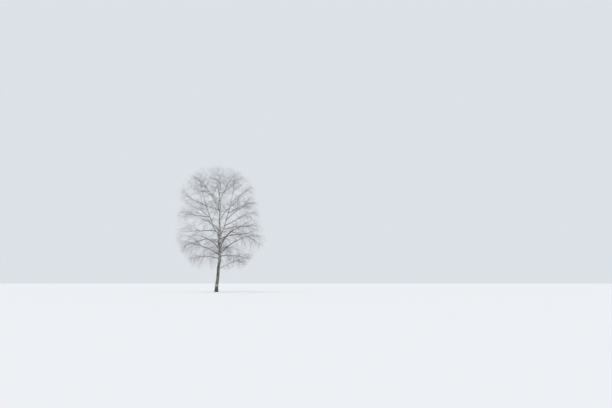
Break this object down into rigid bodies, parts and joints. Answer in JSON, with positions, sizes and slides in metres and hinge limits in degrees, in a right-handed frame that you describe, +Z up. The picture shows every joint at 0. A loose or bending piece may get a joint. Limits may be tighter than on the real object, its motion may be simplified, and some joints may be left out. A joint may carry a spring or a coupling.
{
  "type": "bare silver birch tree",
  "caption": "Bare winter birch on its own: a pale leaning trunk with a root flare, rising side stems, arching boughs and a broad domed crown of fine twigs.",
  "frame": {"origin": "centre of the flat cut under the trunk, at ground level", "axes": "+Z up the trunk, +X to the right and +Y away from the side that the picture shows"},
  "size_m": [13.0443, 12.5782, 18.1755],
  "materials": {
    "trunk_bark": "rough",
    "bough_bark": "rough",
    "twigs": "matte"
  },
  "bodies": {
    "root": {"back_high_bough": "bough_bark", "back_high_twigs": "twigs", "back_low_bough": "bough_bark", "back_low_twigs": "twigs", "back_mid_bough": "bough_bark", "back_mid_twigs": "twigs", "back_upper_bough": "bough_bark", "back_upper_twigs": "twigs", "front_high_bough": "bough_bark", "front_high_twigs": "twigs", "front_left_bough": "bough_bark", "front_left_twigs": "twigs", "front_low_bough": "bough_bark", "front_low_twigs": "twigs", "front_mid_bough": "bough_bark", "front_mid_twigs": "twigs", "front_upper_bough": "bough_bark", "front_upper_twigs": "twigs", "high_front_bough": "bough_bark", "high_front_twigs": "twigs", "left_back_bough": "bough_bark", "left_back_twigs": "twigs", "left_far_bough": "bough_bark", "left_far_twigs": "twigs", "left_high_bough": "bough_bark", "left_high_twigs": "twigs", "left_low_bough": "bough_bark", "left_low_twigs": "twigs", "left_lower_bough": "bough_bark", "left_lower_twigs": "twigs", "left_rear_bough": "bough_bark", "left_rear_twigs": "twigs", "left_stem": "trunk_bark", "left_stem_twigs": "twigs", "left_upper_bough": "bough_bark", "left_upper_twigs": "twigs", "right_droop_bough": "bough_bark", "right_droop_twigs": "twigs", "right_far_bough": "bough_bark", "right_far_twigs": "twigs", "right_front_bough": "bough_bark", "right_front_twigs": "twigs", "right_high_bough": "bough_bark", "right_high_twigs": "twigs", "right_low_bough": "bough_bark", "right_low_twigs": "twigs", "right_lowest_bough": "bough_bark", "right_lowest_twigs": "twigs", "right_riser_bough": "bough_bark", "right_riser_twigs": "twigs", "right_rising_bough": "bough_bark", "right_rising_twigs": "twigs", "right_shoulder_bough": "bough_bark", "right_shoulder_twigs": "twigs", "right_stem": "trunk_bark", "right_stem_twigs": "twigs", "right_upper_bough": "bough_bark", "right_upper_twigs": "twigs", "top_twigs": "twigs", "trunk": "trunk_bark"}
  },
  "joints": []
}
